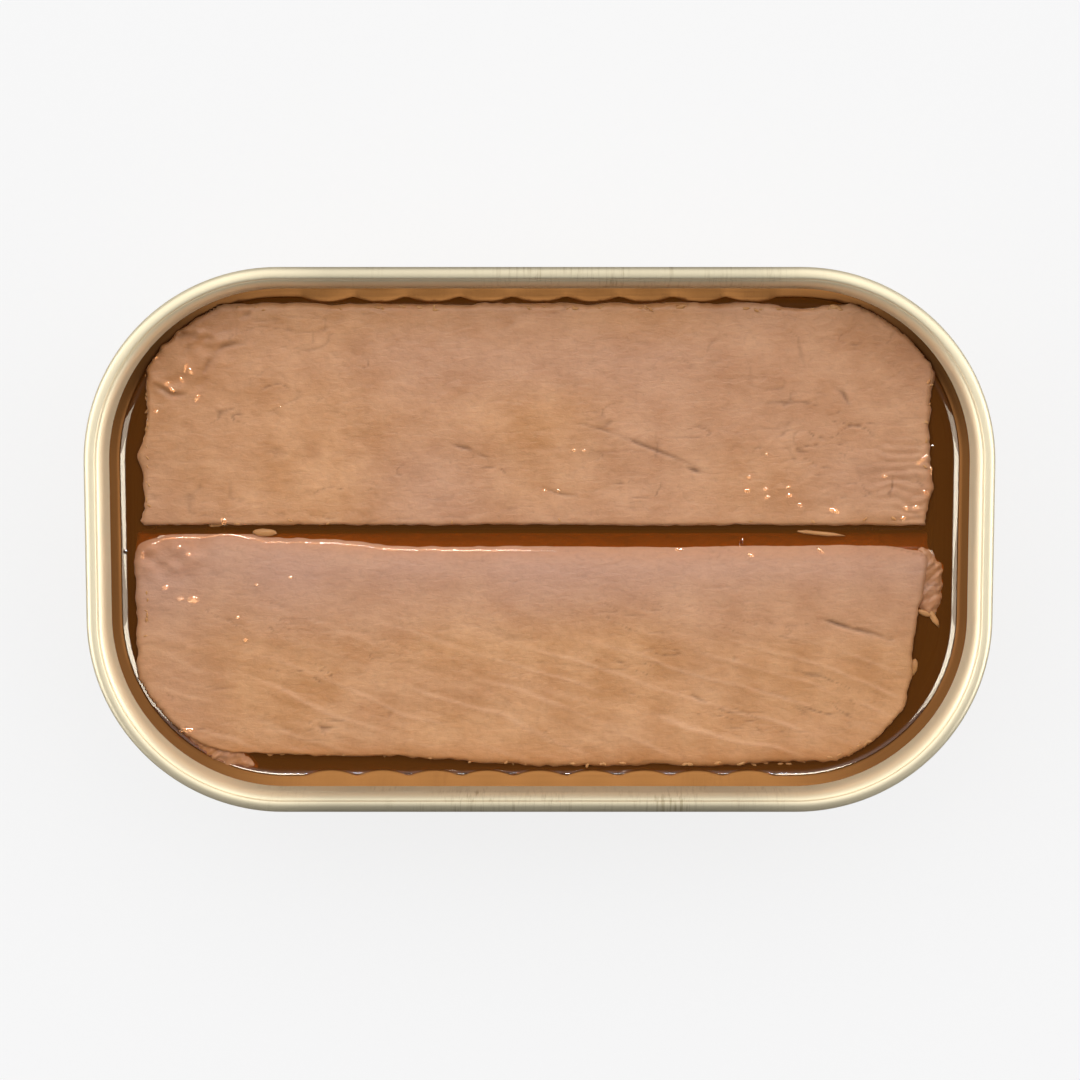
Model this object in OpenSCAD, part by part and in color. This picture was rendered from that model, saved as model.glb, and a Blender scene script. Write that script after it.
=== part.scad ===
// Opened tuna can: a drawn, gold-lacquered can with a seamed rim, two solid fillets and oil.
// Millimetres, +Z up, long side along X, standing on z = 0, centred on the Z axis.

/* [Can outside] */
// length over the double seam
can_len = 107; // [90:0.5:130]
// width over the double seam
can_wid = 64.5; // [54:0.5:80]
// overall height, table to top of seam
can_h = 24.5; // [20:0.5:32]
// plan corner radius at the outside of the seam
corner_r = 23; // [19:0.5:26]
// thickness of the tinplate sheet
sheet = 0.3; // [0.2:0.05:0.5]

/* [Double seam and what is left of the lid] */
// thickness of the double seam in plan
seam_w = 1.5; // [1.2:0.1:2]
// height of the double seam
seam_h = 3; // [2.4:0.1:3.6]
// outer edge radius on top of the seam
seam_r = 0.45; // [0.2:0.05:0.6]
// width of the sloping chuck wall in plan, from the seam to its foot
chuck_run = 0.65; // [0.4:0.05:1]
// depth of the cut lid edge below the top of the seam
lid_drop = 3.9; // [3.4:0.1:4.6]
// width of the flat lid strip left inside the chuck wall
lid_strip = 0.3; // [0.2:0.05:0.6]

/* [Drawn body] */
// inset of the inner wall at the foot of the shoulder, from the outside of the seam
shoulder_in = 3.6; // [3:0.1:4.5]
// depth of the shoulder's foot below the top of the seam
shoulder_drop = 5.4; // [5:0.1:6.5]
// inset of the neck's inner face under the seam
neck_in = 1.35; // [1.1:0.05:1.4]
// slope of the body wall from upright
wall_taper = 3.5; // [0:0.5:6]
// outside radius between the wall and the base
base_r = 2.6; // [1.5:0.1:4]

/* [Upright beads in the long walls] */
// number of beads on each long wall
bead_count = 9; // [3:2:13]
// distance from one bead to the next
bead_pitch = 6.3; // [4:0.1:8]
// width of a bead where it leaves the wall
bead_width = 6; // [3:0.1:7.5]
// how far a bead stands into the can
bead_depth = 0.75; // [0.3:0.05:1]
// height of the beads' lower ends above the table
bead_foot = 4.2; // [3.5:0.1:8]

/* [Base] */
// inset of the ring pressed into the base, from the outside of the seam
ring_in = 12; // [9:0.5:16]
// width of that ring at the table
ring_w = 2.2; // [1.2:0.1:4]
// height of that ring, on which the fillets lie
ring_h = 0.3; // [0.2:0.05:0.6]

/* [Fish] */
// depth of the fillets' tops below the top of the seam
fish_drop = 4.75; // [4.4:0.05:7]
// smallest space between fish and wall
fish_gap = 0.35; // [0.2:0.05:0.6]
// distance from the middle of the can to the upper fillet's cut edge
upper_edge = 1.35; // [0.6:0.05:4]
// distance from the middle of the can to the lower fillet's rounded shoulder
lower_edge = 1; // [0.4:0.05:4]
// how far the lower fillet's flank reaches into the gap below the oil
lower_toe = 1.5; // [0:0.05:1.9]
// space left of the upper fillet
upper_left = 2.5; // [0.5:0.1:6]
// space right of the upper fillet
upper_right = 3.1; // [0.5:0.1:6]
// space left of the lower fillet
lower_left = 1.6; // [0.5:0.1:6]
// space right of the lower fillet
lower_right = 4; // [3:0.1:6]
// height of the swells on the fillets' tops
swell = 0.2; // [0:0.01:0.25]
// size of the ragged places along the fillets' ends
ragged = 0.55; // [0:0.05:0.8]

/* [Loose pieces] */
// width of the flake in the left near corner
flake_w = 2.1; // [1.2:0.1:3]
// thickness of that flake
flake_t = 2.6; // [1.2:0.1:4]
// angle that the flake covers around the corner
flake_arc = 50; // [30:1:70]
// width of the torn flap at the right end
flap_w = 2.3; // [1.2:0.1:2.6]
// length of that flap
flap_l = 8; // [4:0.5:12]
// thickness of that flap
flap_t = 1.8; // [0.8:0.1:3]

/* [Oil] */
// depth of the oil below the top of the seam
oil_drop = 5.6; // [5.5:0.05:9]

/* [Hidden] */
$fn = 64;

cx = can_len / 2 - corner_r; // centres of the plan corners
cy = can_wid / 2 - corner_r;
z_seam = can_h - seam_h; // underside of the seam
z_shoulder = can_h - shoulder_drop; // foot of the shoulder
z_neck = can_h - lid_drop - sheet; // top of the shoulder, clear of the cut lid edge
z_fish = can_h - fish_drop;
z_oil = can_h - oil_drop;
z_ledge = sheet + ring_h; // what the fillets lie on
lid_in = seam_w + chuck_run + lid_strip; // inset of the cut lid edge
film = 0.05; // clearance between the oil and what holds it
soak = 0.1; // clearance between the oil and the fish
arc_n = 6; // steps in a quarter round
eps = 0.5; // overshoot of cutting solids

// inset of the wall's inner face at height z, below the shoulder
function wall_in(z) = shoulder_in + (z_shoulder - z) * tan(wall_taper);

// ---------- sheet metal: profiles are lists of [inset from the seam's outside, height] ----------

module long_runs(profile) {
    for (side = [0, 1])
        mirror([0, side, 0])
            translate([-cx, 0, 0])
                rotate([90, 0, 90])
                    linear_extrude(height = 2 * cx)
                        polygon([for (p = profile) [can_wid / 2 - p[0], p[1]]]);
}

module short_runs(profile) {
    for (side = [0, 1])
        mirror([side, 0, 0])
            translate([0, cy, 0])
                rotate([90, 0, 0])
                    linear_extrude(height = 2 * cy)
                        polygon([for (p = profile) [can_len / 2 - p[0], p[1]]]);
}

module corners(profile) {
    for (k = [0:3])
        translate([(k == 0 || k == 3 ? 1 : -1) * cx, (k < 2 ? 1 : -1) * cy, 0])
            rotate([0, 0, 90 * k])
                rotate_extrude(angle = 90)
                    polygon([for (p = profile) [corner_r - p[0], p[1]]]);
}

// a profile carried once round the can's plan
module around(profile) {
    long_runs(profile);
    short_runs(profile);
    corners(profile);
}

// a solid with this outside profile, listed from the bottom up
module filled(profile) {
    low = profile[0][1];
    high = profile[len(profile) - 1][1];
    around(concat([[corner_r, low]], profile, [[corner_r, high]]));
    translate([-cx, -cy, low])
        cube([2 * cx, 2 * cy, high - low]);
}

// quarter round from the base into the wall, its sheet face grown inward by t
function foot_round(t, z0) = let (r = base_r - t)
    [for (k = [0:arc_n]) let (a = 90 * k / arc_n)
        [wall_in(base_r) - sheet + t + r - r * sin(a), z0 + r - r * cos(a)]];

function body_outside() = concat(
    foot_round(0, 0),
    [[wall_in(z_shoulder) - sheet, z_shoulder - sheet / 2],
     [neck_in - sheet, z_neck - sheet / 2],
     [neck_in - sheet, z_seam]]);

// inner face, moved into the can by gap, up to the height top
function body_inside(gap, top) = concat(
    foot_round(sheet + gap, sheet + gap),
    top < z_shoulder ? [[wall_in(top) + gap, top]]
    : [[wall_in(z_shoulder) + gap, z_shoulder], [neck_in + gap, z_neck], [neck_in + gap, top]]);

// one upright bead as a turned solid, its axis outside the wall; t moves its face out of the can
module bead(t) {
    radius = (pow(bead_width / 2, 2) + pow(bead_depth, 2)) / (2 * bead_depth);
    low = bead_foot / cos(wall_taper);
    top = z_shoulder / cos(wall_taper);
    tip = (z_neck - 0.2) / cos(wall_taper);
    root = radius - bead_depth - 0.6;
    shoulder_run = (shoulder_in - neck_in) + bead_depth + 0.2;
    translate([0, can_wid / 2 - wall_in(0) + radius - bead_depth, 0])
        rotate([-wall_taper, 0, 0])
            rotate_extrude()
                polygon([[0, low - 1.6], [root - t, low - 1.6], [radius - t, low], [radius - t, top],
                         [radius - t - shoulder_run, tip], [0, tip]]);
}

module beads(t) {
    for (side = [0, 1])
        mirror([0, side, 0])
            for (k = [0:bead_count - 1])
                translate([(k - (bead_count - 1) / 2) * bead_pitch, 0, 0])
                    bead(t);
}

// the ring pressed up into the base: its face grown by t
module base_ring(t) {
    around([[ring_in - t, -eps], [ring_in - t, 0], [ring_in + ring_h - t / 2, ring_h + t],
            [ring_in + ring_w - ring_h + t / 2, ring_h + t], [ring_in + ring_w + t, 0],
            [ring_in + ring_w + t, -eps]]);
}

// the room inside the can, its walls closed in by gap
module cavity(gap, top) {
    difference() {
        filled(body_inside(gap, top));
        beads(-gap);
        base_ring(sheet + gap);
    }
}

module can_body() {
    color("#C9A45A")
        difference() {
            filled(body_outside());
            cavity(0, z_seam + eps);
            beads(sheet);
            base_ring(0);
        }
}

module lid_ring() {
    foot = can_h - lid_drop;
    crown = [for (k = [0:arc_n]) let (a = 90 * k / arc_n)
        [seam_r - seam_r * cos(a), can_h - seam_r + seam_r * sin(a)]];
    profile = concat(
        [[0.2, z_seam], [0, z_seam + 0.3]],
        crown,
        [[seam_w - 0.3, can_h], [seam_w, can_h - 0.25],
         [seam_w + chuck_run, foot + 0.35], [lid_in, foot + sheet], [lid_in, foot],
         [seam_w + chuck_run - sheet, foot], [seam_w + 0.1, z_seam]]);
    color("#E8DCC0")
        around(profile);
}

// ---------- fish ----------

nx = 44; // steps along a fillet
ny = 14; // steps across it
rim = 2 * (nx + ny); // points round its edge

function ease(u) = (1 - cos(180 * u)) / 2;
function mix(a, b, u) = a + (b - a) * u;

// the wall-side limit for fish at length x, drawn in by e and sunk by corner_gap towards the corner
function limit_y(x, e, corner_gap) =
    let (r = corner_r - shoulder_in - fish_gap - e,
         dx = max(0, abs(x) - cx),
         sink = corner_gap * min(1, max(0, (abs(x) - cx) / 12 + 1)))
    min(can_wid / 2 - shoulder_in - bead_depth - fish_gap - e,
        cy + sqrt(max(0.01, r * r - dx * dx)) - sink);

function end_x(space, e) = can_len / 2 - shoulder_in - fish_gap - space - e;

// ragged wander of an edge, never negative
function wander(v, phase) =
    ragged * (0.5 + 0.25 * sin(v * 37 + phase) + 0.17 * sin(v * 83 + phase * 2.3) + 0.08 * sin(v * 171 + phase * 5));

// a fillet: [side of the can, left space, right space, near edge, toe, corner gap left, slant of the right end]
function upper() = [1, upper_left, upper_right, upper_edge, 0, 0.2, 0];
function lower() = [-1, lower_left, lower_right, lower_edge, lower_toe, flake_w + 0.45, 1.1];

// the far edge (at the wall) and near edge (at the gap) at length x; e draws in, g widens the toe
function far_y(f, x, e) = limit_y(x, e, x < 0 ? f[5] : 0.1)
    - 0.35 * wander(x, f[0] * 50) - (f[0] < 0 ? 0.5 : 0);
function near_y(f, x, g) = f[3] + 0.3 * wander(x, 120 + f[0] * 20) - f[4] * g;

// a point of fillet f at s along it and t across it (0 at the lower y), grown outward by w
function spot(f, s, t, e, g, w) =
    let (xl = -end_x(f[1], e) - w,
         xr = end_x(f[2], e) + w,
         x0 = mix(xl, xr, s),
         far = far_y(f, x0, e) + w,
         near = near_y(f, x0, g) - w,
         u = f[0] > 0 ? t : 1 - t, // 0 at the gap, 1 at the wall
         pull_l = wander(20 * u, 10 + 200 * f[0]) * pow(1 - s, 8),
         pull_r = (0.6 * wander(20 * u, 77 + f[0] * 90) + f[6] * u) * pow(s, 8))
    [x0 + pull_l - pull_r, f[0] * mix(near, far, u)];

// rounding of the top towards its edges, broad along the lower fillet's gap
function edge_fall(f, s, t) =
    let (u = f[0] > 0 ? t : 1 - t,
         across = f[0] > 0 ? 26 : 27,
         wide = f[0] > 0 ? 0.8 : 3.5,
         deep = f[0] > 0 ? 0.4 : 0.6,
         a = 1 - min(1, u * across / wide),
         b = 1 - min(1, (1 - u) * across / 0.9),
         c = 1 - min(1, min(s, 1 - s) * 90 / 0.9))
    max(deep * a * a, 0.45 * b * b, 0.45 * c * c);

function top_z(f, p, s, t) = z_fish
    + swell * (0.5 * sin(p[0] * 9 + f[0] * 40 + p[1] * 5) + 0.3 * sin(p[0] * 23 - p[1] * 31) + 0.2 * sin(p[1] * 47 + p[0] * 4))
    - edge_fall(f, s, t);

// [s, t] of point k on the way round, anticlockwise from the first corner
function way(k) =
    k < nx ? [k, 0]
    : k < nx + ny ? [nx, k - nx]
    : k < 2 * nx + ny ? [2 * nx + ny - k, ny]
    : [0, rim - k];

// levels below the top edge: [height, drawn in, share of the toe]
levels = [
    [z_oil - 1.4, (oil_drop + 1.4 - fish_drop) * tan(wall_taper), 1],
    [z_ledge + base_r, (z_shoulder - base_r - z_ledge) * tan(wall_taper) + 0.1, 1],
    [z_ledge, (z_shoulder - z_ledge) * tan(wall_taper) + base_r, 1]];

function loop_at(f, level, w) = [for (k = [0:rim - 1])
    let (q = way(k), p = spot(f, ease(q[0] / nx), ease(q[1] / ny), level[1], level[2], w))
    [p[0], p[1], level[0]]];

function band(a, b) = [for (k = [0:rim - 1]) let (n = (k + 1) % rim)
    each [[a[k], b[n], b[k]], [a[k], a[n], b[n]]]];

module fillet(f) {
    grid = [for (j = [0:ny]) for (i = [0:nx])
        let (s = ease(i / nx), t = ease(j / ny), p = spot(f, s, t, 0, 0, 0))
        [p[0], p[1], top_z(f, p, s, t)]];
    rings = [for (level = levels) loop_at(f, level, 0)];
    count = (nx + 1) * (ny + 1);
    edge = [for (k = [0:rim - 1]) let (q = way(k)) q[1] * (nx + 1) + q[0]];
    index = [for (n = [0:2]) [for (k = [0:rim - 1]) count + n * rim + k]];
    top = [for (j = [0:ny - 1]) for (i = [0:nx - 1]) let (a = j * (nx + 1) + i)
        each [[a, a + nx + 2, a + 1], [a, a + nx + 1, a + nx + 2]]];
    polyhedron(
        points = concat(grid, rings[0], rings[1], rings[2]),
        faces = concat(top, band(edge, index[0]), band(index[0], index[1]), band(index[1], index[2]),
                       [index[2]]));
}

// the space a fillet takes in the oil, open down to the base
module fillet_room(f) {
    heights = concat([[z_oil + eps, 0, 0]], levels, [[-eps, levels[2][1], 1]]);
    last = len(heights) - 1;
    index = [for (n = [0:last]) [for (k = [0:rim - 1]) n * rim + k]];
    polyhedron(
        points = [for (level = heights) each loop_at(f, level, soak)],
        faces = concat([[for (k = [rim - 1:-1:0]) k]],
                       [for (n = [0:last - 1]) each band(index[n], index[n + 1])],
                       [index[last]]));
}

module fillet_upper() {
    color("#B98560")
        fillet(upper());
}

module fillet_lower() {
    color("#B68A6C")
        fillet(lower());
}

// ---------- loose pieces: slim bodies drawn out along a path, with rounded sections ----------

section_n = 10;

// a body from ring to ring; rings is a list of loops of section_n points
module strand(rings) {
    last = len(rings) - 1;
    points = [for (r = rings) each r];
    sides = [for (n = [0:last - 1]) for (k = [0:section_n - 1])
        let (m = (k + 1) % section_n, a = n * section_n, b = a + section_n)
        each [[a + k, b + k, b + m], [a + k, b + m, a + m]]];
    polyhedron(
        points = points,
        faces = concat(sides, [[for (k = [0:section_n - 1]) k]],
                       [[for (k = [section_n - 1:-1:0]) last * section_n + k]]));
}

// the flake lies along the corner between the lower fillet and the wall
module flake_shape(w) {
    n = 16;
    top = z_fish - 0.35;
    r_mid = corner_r - wall_in(top - flake_t) - fish_gap - flake_w / 2;
    strand([for (i = [0:n])
        let (u = i / n,
             a = 241 + flake_arc * (u - 0.5),
             full = 0.25 + 0.75 * sqrt(max(0, sin(180 * u))),
             r0 = r_mid + 0.12 * sin(u * 900) * full)
        [for (k = [0:section_n - 1])
            let (b = 360 * k / section_n,
                 r = r0 + (flake_w / 2 * full + w) * cos(b),
                 z = top - flake_t / 2 + (flake_t / 2 * full + w) * sin(b))
            [-cx + r * cos(a), -cy + r * sin(a), z]]]);
}

// the flap hangs off the right end of the lower fillet, down into the oil
module flap_shape(w) {
    n = 10;
    x_in = end_x(lower_right, 0) + 0.15 + w;
    strand([for (i = [0:n])
        let (u = i / n,
             full = 0.3 + 0.7 * sqrt(max(0, sin(180 * min(1, 0.12 + 0.88 * u)))),
             y = -lower_edge - 0.4 - flap_l * u,
             z = z_fish - 0.3 - flap_t / 2 - 1.3 * u * u)
        [for (k = [0:section_n - 1])
            let (b = 360 * k / section_n, half = flap_w / 2 * full + w)
            [x_in - w + flap_w / 2 + half * cos(b), y, z + (flap_t / 2 * full + w) * sin(b)
             - 0.22 * half * cos(b)]]]);
}

module flake_corner() {
    color("#B98A5E")
        flake_shape(0);
}

module flap_right() {
    color("#B5794A")
        flap_shape(0);
}

module oil() {
    color("#7A4A12", 0.8)
        difference() {
            cavity(film, z_oil);
            fillet_room(upper());
            fillet_room(lower());
            flake_shape(soak);
            flap_shape(soak);
        }
}

can_body();
lid_ring();
oil();
fillet_upper();
fillet_lower();
flake_corner();
flap_right();
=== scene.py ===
# An opened flat can of tuna: gold-lacquered tinplate, two loin fillets, loose flakes and oil.
import math
import bpy
import bmesh
import numpy as np
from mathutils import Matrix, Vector
from mathutils.kdtree import KDTree


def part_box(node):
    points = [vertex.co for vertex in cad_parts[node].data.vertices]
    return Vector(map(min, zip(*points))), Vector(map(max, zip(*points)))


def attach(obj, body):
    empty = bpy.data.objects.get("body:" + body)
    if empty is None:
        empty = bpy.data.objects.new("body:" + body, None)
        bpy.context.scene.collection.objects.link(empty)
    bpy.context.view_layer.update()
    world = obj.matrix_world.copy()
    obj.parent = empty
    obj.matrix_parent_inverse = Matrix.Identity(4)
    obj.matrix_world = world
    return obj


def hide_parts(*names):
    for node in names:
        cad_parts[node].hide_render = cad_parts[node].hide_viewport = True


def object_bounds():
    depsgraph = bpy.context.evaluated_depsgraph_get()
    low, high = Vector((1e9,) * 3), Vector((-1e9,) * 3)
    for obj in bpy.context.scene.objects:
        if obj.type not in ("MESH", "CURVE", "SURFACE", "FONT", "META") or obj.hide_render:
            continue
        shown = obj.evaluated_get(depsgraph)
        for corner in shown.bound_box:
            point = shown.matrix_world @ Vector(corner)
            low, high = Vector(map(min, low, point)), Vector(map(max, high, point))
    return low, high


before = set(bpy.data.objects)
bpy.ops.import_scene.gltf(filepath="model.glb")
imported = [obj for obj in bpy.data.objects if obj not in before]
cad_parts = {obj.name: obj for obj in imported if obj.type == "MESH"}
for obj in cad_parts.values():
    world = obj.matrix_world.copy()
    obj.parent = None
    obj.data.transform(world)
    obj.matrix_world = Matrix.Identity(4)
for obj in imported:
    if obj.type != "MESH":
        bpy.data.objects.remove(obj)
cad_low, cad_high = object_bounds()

mm = 0.001

# ---------- the can's plan and heights, in millimetres ----------
half_l, half_w = cad_high.x / mm, cad_high.y / mm   # to the outside of the seam
can_h = cad_high.z / mm
corner_r = 23.0                                     # plan corner radius at the seam
cx, cy = half_l - corner_r, half_w - corner_r       # centres of the plan corners
sheet = 0.3
seam_w, seam_h = 1.5, 3.0
z_seam = can_h - seam_h
z_shoulder, z_neck = can_h - 5.4, can_h - 4.2
shoulder_in, neck_in = 3.6, 1.35
wall_slope = math.tan(math.radians(3.5))
base_r = 2.6
bead_count, bead_pitch, bead_width, bead_depth, bead_foot = 9, 6.3, 6.0, 0.6, 4.2
ring_in, ring_w, ring_h = 12.0, 2.2, 0.3
z_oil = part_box("oil")[1].z / mm
z_fish = can_h - 4.75
z_ledge = sheet + ring_h
round_r = (4 * cx + 4 * cy) / (2 * math.pi) + corner_r   # radius of a circle as long as the way round the plan


def wall_in(z):
    """Inset of the wall's inner face at height z, below the shoulder."""
    return shoulder_in + (z_shoulder - z) * wall_slope


# ---------- making by hand ----------
def leave_edit():
    if bpy.context.mode != "OBJECT":
        bpy.ops.object.mode_set(mode="OBJECT")
    bpy.ops.object.select_all(action="DESELECT")


def primitive(kind, name, at=(0, 0, 0), **size):
    """A primitive of bpy.ops.mesh at a place in millimetres, named, its place in its mesh, in edit mode and all selected."""
    leave_edit()
    getattr(bpy.ops.mesh, f"primitive_{kind}_add")(location=Vector(at) * mm, **size)
    obj = bpy.context.object
    obj.name = obj.data.name = name
    bpy.ops.object.transform_apply(location=True, rotation=True, scale=True)
    bpy.ops.object.mode_set(mode="EDIT")
    bpy.ops.mesh.select_mode(type="VERT")
    bpy.ops.mesh.select_all(action="SELECT")
    return obj


def pick(obj, test, kind="VERT"):
    """Selects in edit mode only the vertices, edges or faces that pass the test."""
    bpy.ops.mesh.select_mode(type=kind)
    bpy.ops.mesh.select_all(action="DESELECT")
    shape = bmesh.from_edit_mesh(obj.data)
    for part in {"VERT": shape.verts, "EDGE": shape.edges, "FACE": shape.faces}[kind]:
        if test(part):
            part.select_set(True)
    shape.select_flush_mode()
    bmesh.update_edit_mesh(obj.data)


def extrude(x, y, z):
    bpy.ops.mesh.extrude_region_move(TRANSFORM_OT_translate={"value": (x * mm, y * mm, z * mm)})


def places(obj):
    """The vertices' places in millimetres, one row each."""
    flat = np.empty(len(obj.data.vertices) * 3, np.float32)
    obj.data.vertices.foreach_get("co", flat)
    return flat.reshape(-1, 3).astype(float) / mm


def apply(obj, kind, **settings):
    """Adds a modifier with these settings and applies it."""
    leave_edit()
    bpy.context.view_layer.objects.active = obj
    modifier = obj.modifiers.new(kind.title(), kind)
    for key, value in settings.items():
        setattr(modifier, key, value)
    bpy.ops.object.modifier_apply(modifier=modifier.name)


def push(obj, amounts, axis):
    """Moves each vertex along the axis by its own amount in millimetres: painted weights and a Displace modifier."""
    leave_edit()
    low, span = float(amounts.min()), float(np.ptp(amounts))
    if span > 1e-9:
        group = obj.vertex_groups.new(name="push")
        for index, weight in enumerate(((amounts - low) / span).tolist()):
            group.add((index,), weight, "REPLACE")
        apply(obj, "DISPLACE", strength=span * mm, mid_level=0, direction=axis, vertex_group="push")
        obj.vertex_groups.clear()
    if abs(low) > 1e-9:
        apply(obj, "DISPLACE", strength=low * mm, mid_level=0, direction=axis)


def mask(obj, name, values):
    """A painted mask on the vertices, from 0 to 1."""
    layer = obj.data.attributes.new(name, "FLOAT", "POINT")
    layer.data.foreach_set("value", np.clip(values, 0, 1).astype(np.float32))


def smooth(obj, angle=180):
    leave_edit()
    bpy.context.view_layer.objects.active = obj
    obj.select_set(True)
    if angle >= 180:
        bpy.ops.object.shade_smooth()
    else:
        bpy.ops.object.shade_smooth_by_angle(angle=math.radians(angle))
    obj.select_set(False)


def finish(obj, material, slot, *nodes):
    """The piece gets its material, rides on the can and stands for its CAD nodes; slot is not used."""
    leave_edit()
    obj.data.materials.clear()
    obj.data.materials.append(material)
    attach(obj, "root")
    if nodes:
        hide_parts(*nodes)
    return obj


# ---------- unevenness ----------
def hills(x, y, size_x, size_y, seed):
    """Smooth seeded unevenness from -1 to 1 whose hills have this size in millimetres."""
    table = np.random.RandomState(seed).uniform(-1, 1, (128, 128))
    u, v = x / size_x + 500 + seed, y / size_y + 500 + 2 * seed
    i, j = np.floor(u).astype(int), np.floor(v).astype(int)
    f, g = u - i, v - j
    f, g = f * f * (3 - 2 * f), g * g * (3 - 2 * g)
    a, b = table[i % 128, j % 128], table[(i + 1) % 128, j % 128]
    c, d = table[i % 128, (j + 1) % 128], table[(i + 1) % 128, (j + 1) % 128]
    return (a * (1 - f) + b * f) * (1 - g) + (c * (1 - f) + d * f) * g


def away(x, y, *path):
    """Distance from a line through these points."""
    best = np.full(x.shape, 1e9)
    for (ax, ay), (bx, by) in zip(path, path[1:]):
        t = np.clip(((x - ax) * (bx - ax) + (y - ay) * (by - ay)) / ((bx - ax) ** 2 + (by - ay) ** 2), 0, 1)
        best = np.minimum(best, np.hypot(x - ax - t * (bx - ax), y - ay - t * (by - ay)))
    return best


def dab(distance, width):
    """1 on a line or spot, falling smoothly to 0 about one width away."""
    return np.exp(-(distance / width) ** 2)


# ---------- sheet metal ----------
def carried_round(name, section, closed, long_cuts=0, short_cuts=0, corner_steps=30):
    """A section, listed as [inset from the seam's outside, height], drawn at one corner and carried once round the can."""
    first = section[0]
    obj = primitive("plane", name, at=(-cx, half_w - first[0], first[1]), size=mm)
    bpy.ops.mesh.merge(type="CENTER")
    for a, b in zip(section, section[1:]):
        extrude(0, a[0] - b[0], b[1] - a[1])
    if closed:
        pick(obj, lambda v: len(v.link_edges) == 1)
        bpy.ops.mesh.edge_face_add()
    bpy.ops.mesh.select_all(action="SELECT")
    for run, centre in (((2 * cx, 0), (cx, cy)), ((0, -2 * cy), (cx, -cy)),
                        ((-2 * cx, 0), (-cx, -cy)), ((0, 2 * cy), (-cx, cy))):
        extrude(run[0], run[1], 0)
        bpy.ops.mesh.spin(steps=corner_steps, angle=math.pi / 2, center=(centre[0] * mm, centre[1] * mm, 0),
                          axis=(0, 0, 1))
    bpy.ops.mesh.select_all(action="SELECT")
    bpy.ops.mesh.remove_doubles(threshold=0.002 * mm)
    for cuts, along in ((long_cuts, 0), (short_cuts, 1)):
        if cuts:
            pick(obj, lambda e: abs((e.verts[0].co - e.verts[1].co)[along]) > 5 * mm, "EDGE")
            bpy.ops.mesh.subdivide(number_cuts=cuts)
    return obj


def face_inward(obj):
    """Turns an open skin so that its faces look into the can."""
    bpy.ops.mesh.select_mode(type="FACE")
    bpy.ops.mesh.select_all(action="SELECT")
    bpy.ops.mesh.normals_make_consistent(inside=False)
    shape = bmesh.from_edit_mesh(obj.data)
    flattest = max(shape.faces, key=lambda f: f.calc_area())
    if flattest.normal.z < 0:
        bpy.ops.mesh.flip_normals()


def inset_at(x, y):
    """Inset of points in plan from the seam's outside, in millimetres."""
    qx, qy = np.abs(x) - cx, np.abs(y) - cy
    return corner_r - np.where((qx > 0) & (qy > 0), np.hypot(qx, qy), np.maximum(qx, qy))


def lay_grain(obj):
    """A vector on the vertices for scratches and draw marks: the first two run round the can, the third across the
    metal. The way round is laid on a circle of the same length, so that it closes without a seam."""
    p = places(obj)
    px, py = np.clip(p[:, 0], -cx, cx), np.clip(p[:, 1], -cy, cy)
    turn = np.arctan2(p[:, 1] - py, p[:, 0] - px) % (2 * math.pi)
    side = np.floor(turn / (math.pi / 2) + 0.5).astype(int)
    straight = np.choose(side, [py + cy, 2 * cy + cx - px, 3 * cy + 2 * cx - py, 4 * cy + 3 * cx + px,
                                5 * cy + 4 * cx + py])
    angle = (turn * corner_r + straight) / round_r
    across = inset_at(p[:, 0], p[:, 1]) - p[:, 2]
    grain = np.stack([np.cos(angle) * round_r, np.sin(angle) * round_r, across], 1) * mm
    layer = obj.data.attributes.new("grain", "FLOAT_VECTOR", "POINT")
    layer.data.foreach_set("vector", grain.astype(np.float32).ravel())


def bead_in(x, y, z):
    """How far the upright beads stand into the can at a place on a long wall."""
    radius = ((bead_width / 2) ** 2 + bead_depth ** 2) / (2 * bead_depth)
    off = np.abs(x) % bead_pitch
    off = np.minimum(off, bead_pitch - off)
    stand = np.sqrt(np.maximum(0, radius ** 2 - off ** 2)) - (radius - bead_depth)
    stand = np.where((np.abs(x) < bead_count * bead_pitch / 2) & (off < bead_width / 2), np.maximum(stand, 0), 0)
    upper = np.clip((z_neck - 0.15 - z) / (z_neck - 0.15 - z_shoulder), 0, 1)
    lower = np.clip((z - bead_foot + 1.4) / 1.4, 0, 1)
    on_wall = np.where(np.abs(y) > cy + 0.05, 1, 0)
    return stand * upper * lower * lower * (3 - 2 * lower) * on_wall


def press_beads(obj, reach=None):
    """Pushes the beads of both long walls into the can; reach is how far from the wall the push fades out."""
    leave_edit()
    p = places(obj)
    inset = inset_at(p[:, 0], p[:, 1])
    on_wall = np.ones(len(p)) if reach is None else np.clip(1 - (inset - wall_in(p[:, 2]) - 0.1) / reach, 0, 1)
    on_wall = np.where(inset > 9, 0, on_wall)
    push(obj, -np.sign(p[:, 1]) * bead_in(p[:, 0], p[:, 1], p[:, 2]) * on_wall, "Y")


def keep_in_can(obj, gap):
    """Moves what would stand in the sheet metal inwards, square to the wall."""
    p = places(obj)
    x, y, z = p.T
    wall = np.where(z < z_shoulder, wall_in(z), np.interp(z, (z_shoulder, z_neck), (shoulder_in, neck_in)))
    move = np.maximum(0, wall + bead_in(x, y, z) + gap - inset_at(x, y))
    qx, qy = np.abs(x) - cx, np.abs(y) - cy
    far = np.maximum(np.hypot(qx, qy), 1e-6)
    rounded = (qx > 0) & (qy > 0)
    along_x = np.where(rounded, qx / far, np.where(qx > qy, 1, 0))
    along_y = np.where(rounded, qy / far, np.where(qx > qy, 0, 1))
    push(obj, -np.sign(x) * move * along_x, "X")
    push(obj, -np.sign(y) * move * along_y, "Y")


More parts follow.
